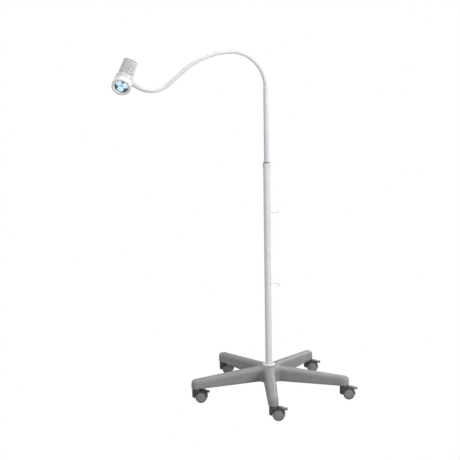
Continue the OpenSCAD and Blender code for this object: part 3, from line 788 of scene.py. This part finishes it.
# the wall bends from the collar's axis to the light's axis
def housingWall(inset, spec):
    start = housingRing(spec["rearR"] - inset, False, spec["straightTo"], spec)
    stop = housingRing(spec["frontR"] - inset, True, spec["frontZ"] + spec["lap"], spec)
    down = headFrame.to_3x3() @ Vector((0, 0, -1))
    ahead = frontFrame.to_3x3() @ Vector((0, 0, -1))
    rings = []
    for i in range(spec["rows"] + 1):
        t = i / spec["rows"]
        h0, h1 = 2 * t ** 3 - 3 * t ** 2 + 1, t ** 3 - 2 * t ** 2 + t
        h2, h3 = -2 * t ** 3 + 3 * t ** 2, t ** 3 - t ** 2
        ring = []
        for a, b in zip(start, stop):
            span = (b - a).length * spec["pull"]
            ring.append(a * h0 + down * (span * h1) + b * h2 + ahead * (span * h3))
        rings.append(ring)
    return rings


def makeHousing(spec):
    r, w, edge, rear, hole = (spec[k] for k in ("rearR", "wall", "edge", "rearZ", "holeR"))
    rings = [housingRing(hole, False, rear - w, spec),
             housingRing(hole, False, rear - spec["chamfer"], spec),
             housingRing(hole + spec["chamfer"], False, rear, spec)]
    for k in range(spec["edgeSteps"] + 1):
        spoke = pointOn(math.pi / 2 * k / spec["edgeSteps"]) * edge
        rings.append(housingRing(r - edge + spoke.y, False, rear - edge + spoke.x, spec))
    rings += housingWall(0, spec)
    rings.append(housingRing(spec["frontR"], True, spec["frontZ"], spec))
    rings.append(housingRing(spec["frontR"] - w, True, spec["frontZ"], spec))
    rings += list(reversed(housingWall(w, spec)))
    rings.append(housingRing(r - w, False, rear - w, spec))
    points, faces = ringBands(rings)
    return meshPiece("headHousing", points, faces, sharp=spec["sharp"])


put(makeHousing(housingSpec), "head", "head_white", "head_housing")

frontSpec = dict(ringR=0.040, windowR=0.028, front=-0.033, lip=0.004, back=0.010, seat=0.003, seatR=0.031,
                 paneR=0.0308, paneH=0.0019, pitchR=0.0155, lensTurn=60, lensCount=3, lensSteps=64,
                 ringSteps=128)


def makeFront(spec):
    r, w, z = spec["ringR"], spec["windowR"], spec["front"]
    rim, back, seat, seatR = z - spec["lip"], z + spec["back"], z + spec["seat"], spec["seatR"]
    ring = [(w, z, 0.0006), (w + 0.0032, rim, 0.0012), (r, rim, 0.0034), (r, back - 0.0008, 0.0006),
            (r - 0.0006, back, 0.0003), (seatR, back, 0), (seatR, seat, 0), (w, seat, 0.0003)]
    ring = turned("frontRing", ring, frontFrame, spec["ringSteps"])
    # the ring takes the paler copy of the housing white, a painted highlight for its down-facing face
    put(ring, "head", "head_white", "front_ring", finish="ring_painted_light")
    top = seat + spec["paneH"]
    pane = [(0, seat, 0), (spec["paneR"], seat, 0.0003), (spec["paneR"], top, 0.0003), (0, top, 0)]
    put(turned("windowPane", pane, frontFrame, loop=False), "head", "window", "front_window")
    # clear lens: a gently domed face with a collar, tapering back to the light source
    lens = [(0, z + 0.0060, 0), (0.0045, z + 0.0062, 0), (0.0085, z + 0.0068, 0), (0.0106, z + 0.0078, 0.001),
            (0.0112, z + 0.0072, 0.0003), (0.0119, z + 0.0072, 0.0003), (0.0119, z + 0.011, 0.0003),
            (0.0112, z + 0.0112, 0.0004), (0.0092, z + 0.0142, 0.002), (0.0050, z + 0.0170, 0.0003),
            (0, z + 0.0170, 0)]
    lens = turned("lens", lens, None, spec["lensSteps"], loop=False)
    lens.data.transform(rotation("Z", spec["lensTurn"]) @ Matrix.Translation((spec["pitchR"], 0, 0)))
    count = spec["lensCount"]
    trio = repeated(lens, "lensTrio", count, "lens", 2 * math.pi / count, matrix=frontFrame)
    put(trio, "head", "lens", "lenses")


makeFront(frontSpec)

sinkSpec = dict(low=0.010, high=0.076, coreR=0.0262, boreR=0.0211, footR=0.0303, footLow=0.004,
                footHigh=0.006, edge=0.0003)
finSpec = dict(count=36, thick=0.0033, rootR=0.0255, lowR=0.032, highR=0.0296, steps=14, sweep=0.004,
               round=0.0008, flat=0.0002, flatShare=0.6)
capSpec = dict(high=0.005, plugR=0.0209, plug=0.004, holeR=0.0073, roomR=0.0102, play=0.0001)
buttonSpec = dict(r=0.007, flangeR=0.009, flange=0.003, low=0.0042, high=0.0064, steps=64)


# one fin: its outer edge rounded, its rear end swept in
def makeFin(spec, sink):
    half, rootR = spec["thick"] / 2, spec["rootR"]
    rows = []
    for i in range(spec["steps"] + 1):
        t = i / spec["steps"]
        outer = spec["lowR"] + (spec["highR"] - spec["lowR"]) * t
        end, sweep = (1 - t) * (sink["high"] - sink["low"]), spec["sweep"]
        if end < sweep:
            outer -= sweep - math.sqrt(sweep ** 2 - (sweep - end) ** 2)
            outer = max(outer, sink["coreR"] + 0.001)
        z = sink["low"] + (sink["high"] - sink["low"]) * t
        side, near, mid = outer - spec["round"], outer - spec["flat"], half * spec["flatShare"]
        rows.append([(rootR, -half, z), (side, -half, z), (near, -mid, z), (outer, 0, z),
                     (near, mid, z), (side, half, z), (rootR, half, z)])
    points, faces = ringBands(rows, loop=False)
    addEnds(points, faces, len(rows[0]))
    return meshPiece("fin", points, faces)


def makeSink(spec, fin, cap, button):
    low, high, edge, foot = spec["low"], spec["high"], spec["edge"], spec["low"] + spec["footHigh"]
    core = [(spec["boreR"], foot, edge), (spec["coreR"], foot, edge), (spec["coreR"], high, edge),
            (spec["boreR"], high, edge)]
    put(turned("sinkCore", core, headFrame), "head", "sink_alloy")
    under, r = low - spec["footLow"], spec["footR"]
    plate = [(0, under, 0), (r, under, 0.0004), (r, foot, 0.0004), (0, foot, 0)]
    put(turned("sinkFoot", plate, headFrame, loop=False), "head", "sink_alloy", "heat_sink")

    step = 2 * math.pi / fin["count"]
    fins = repeated(makeFin(fin, spec), "coolingFins", fin["count"], "sink_alloy", step, matrix=headFrame)
    put(fins, "head", "sink_alloy")

    top, below, r = high + cap["high"], high - cap["plug"], fin["highR"] - cap["play"]
    hole, room, plugR = cap["holeR"], cap["roomR"], cap["plugR"]
    corners = [(hole, top - 0.0002, 0.0004), (0.010, top, 0.002), (fin["highR"] - 0.005, top, 0.004),
               (r, high + 0.0012, 0.0028), (r, high, 0.0003), (plugR, high, 0), (plugR, below, 0.0004),
               (room, below, 0), (room, high, 0), (hole, high, 0)]
    put(turned("rearCap", corners, headFrame), "head", "cap_grey", "rear_cap")

    r, wide, below, top = button["r"], button["flangeR"], high - button["low"], high + button["high"]
    shelf = below + button["flange"]
    corners = [(0, below, 0), (wide, below, edge), (wide, shelf, edge), (r, shelf, 0),
               (r, top - 0.0004, 0.0012), (0.0045, top + 0.0005, 0.002), (0, top, 0)]
    piece = turned("pushButton", corners, headFrame, button["steps"], loop=False)
    put(piece, "button", "white_plastic", "push_button")


makeSink(sinkSpec, finSpec, capSpec, buttonSpec)

socketSpec = dict(bossR=0.013, face=0.046, root=0.0335, spigotR=0.0098, spigot=0.004, pinR=0.005,
                  pinFoot=0.0283, gap=0.0003, ferruleR=0.00975, length=0.024, boreR=0.0025, cupR=0.00905,
                  cup=0.0214, steps=80)


def makeSocket(spec):
    root, face, inR = spec["root"], spec["face"], spec["pinR"] + 0.0001
    corners = [(inR, root - spec["spigot"], 0), (spec["spigotR"], root - spec["spigot"], 0),
               (spec["spigotR"], root, 0), (spec["bossR"], root, 0), (spec["bossR"], face, 0.0028),
               (inR, face, 0.0004)]
    put(turned("socketBoss", corners, socketFrame, spec["steps"]), "head", "head_white", "head_joint")
    z, r, pinR, foot = face + spec["gap"], spec["ferruleR"], spec["pinR"], spec["pinFoot"]
    end, seat, boreR, cupR = z + spec["length"], z + spec["cup"], spec["boreR"], spec["cupR"]
    corners = [(boreR, foot, 0), (pinR, foot, 0.0004), (pinR, z, 0), (r, z, 0.0008), (r, end - 0.004, 0.002),
               (r - 0.0006, end, 0.0005), (cupR, end, 0.0002), (cupR, seat, 0), (boreR, seat, 0)]
    put(turned("endFerrule", corners, socketFrame, spec["steps"]), "neck_4", "white_plastic", "end_ferrule")


makeSocket(socketSpec)
print("head ready")


# castors

castorSpec = dict(count=5, reach=0.345, trail=0.021, axleZ=0.025, wheelR=0.025, wheelIn=0.0078,
                  wheelW=0.013, hubR=0.009, boreR=0.0031, capR=0.0206, capSeat=0.0032, axleR=0.003,
                  axleIn=0.002, wheelSteps=72, axleSteps=32)


def makeCastor(k, spec):
    angle = armAngle(k)
    stem = Matrix.Translation((spec["reach"] * math.cos(angle), spec["reach"] * math.sin(angle), 0))
    axle = stem @ Matrix.Translation((spec["trail"], 0, spec["axleZ"]))
    r, near, far = spec["wheelR"], spec["wheelIn"], spec["wheelIn"] + spec["wheelW"]
    hubR, boreR, web = spec["hubR"], spec["boreR"], near + 0.0012
    tyre = [(boreR, near, 0), (hubR, near, 0.0006), (hubR + 0.0005, web, 0.0006), (r - 0.006, web, 0.0006),
            (r - 0.0052, near, 0.0006), (r - 0.0006, near + 0.0004, 0.0022), (r, (near + far) / 2, 0.006),
            (r - 0.0006, far - 0.0004, 0.0022), (r - 0.0036, far, 0.0006), (r - 0.0041, far - 0.0022, 0.0004),
            (boreR, far - 0.0026, 0)]
    capR, seat = spec["capR"], far - spec["capSeat"]
    cap = [(0, far + 0.0011, 0), (0.008, far + 0.0009, 0), (0.015, far + 0.0002, 0),
           (capR - 0.0008, far - 0.0008, 0.0014), (capR, seat + 0.0006, 0.0006), (capR, seat, 0),
           (0, seat, 0)]
    body = f"wheels_{k + 1}"
    for side, turn in (("left", 90), ("right", -90)):
        way = axle @ rotation("X", turn)
        nodes = [f"castor_wheels_{k + 1}"] if side == "left" else []
        tread = turned(f"tyre_{k + 1}_{side}", tyre, way, spec["wheelSteps"])
        put(tread, body, "wheel_nylon", *nodes)
        disc = turned(f"hubCap_{k + 1}_{side}", cap, way, spec["wheelSteps"], loop=False)
        put(disc, body, "wheel_nylon", finish="wheel_cap")
    pinR, end = spec["axleR"], far - spec["axleIn"]
    pin = [(0, -end, 0), (pinR, -end, 0.0004), (pinR, end, 0.0004), (0, end, 0)]
    pin = turned(f"axle_{k + 1}", pin, axle @ rotation("X", 90), spec["axleSteps"], loop=False)
    put(pin, body, "stem_steel")


for k in range(castorSpec["count"]):
    makeCastor(k, castorSpec)
print("castors ready")


# finishes of the CAD pieces that stay

slotOf = {row["node"]: row["material_slot"] for row in frame["record"]["subparts"]}
for name, node in frame["nodes"].items():
    if node.hide_render:
        continue
    if not node.material_slots:
        node.data.materials.append(finishes[slotOf[name]])
    for holder in node.material_slots:
        holder.material = finishes[slotOf[name]]


# stage

stageSpec = dict(size=14, floorRough=0.9, sky=0.36, shownTone=1.0, floorTone=0.45)


def shownOr(tree, shown, other):
    choice = tree.nodes.new("ShaderNodeMixShader")
    ray = tree.nodes.new("ShaderNodeLightPath")
    tree.links.new(ray.outputs["Is Camera Ray"], choice.inputs[0])
    tree.links.new(other, choice.inputs[1])
    tree.links.new(shown, choice.inputs[2])
    return choice.outputs[0]


def makeStage(spec):
    bpy.ops.mesh.primitive_plane_add(size=spec["size"], location=(0, 0, 0))
    floor = bpy.context.object
    floor.name = "floor"
    material, tree, shader = newMaterial("floorWhite")
    tone = spec["floorTone"]
    speckle = noiseOf(tree, coordsOf(tree), 3)
    tree.links.new(blendOf(tree, speckle, [tone * 0.98] * 3, [tone] * 3), shader.inputs["Base Color"])
    shader.inputs["Roughness"].default_value = spec["floorRough"]
    pale = tree.nodes.new("ShaderNodeEmission")
    pale.inputs["Strength"].default_value = spec["shownTone"]
    surface = tree.nodes["Material Output"].inputs["Surface"]
    tree.links.new(shownOr(tree, pale.outputs[0], shader.outputs[0]), surface)
    floor.data.materials.append(material)
    world = bpy.data.worlds.new("paleStudio")
    scene.world = world
    world.use_nodes = True
    tree = world.node_tree
    sky = tree.nodes["Background"]
    sky.inputs["Color"].default_value = (1, 1, 1, 1)
    sky.inputs["Strength"].default_value = spec["sky"]
    shown = tree.nodes.new("ShaderNodeBackground")
    shown.inputs["Color"].default_value = (1, 1, 1, 1)
    shown.inputs["Strength"].default_value = spec["shownTone"]
    surface = tree.nodes["World Output"].inputs["Surface"]
    tree.links.new(shownOr(tree, shown.outputs[0], sky.outputs[0]), surface)
    scene.view_settings.view_transform = "Standard"


makeStage(stageSpec)
makeCamera(viewSpec)
makeLights(lightRows)
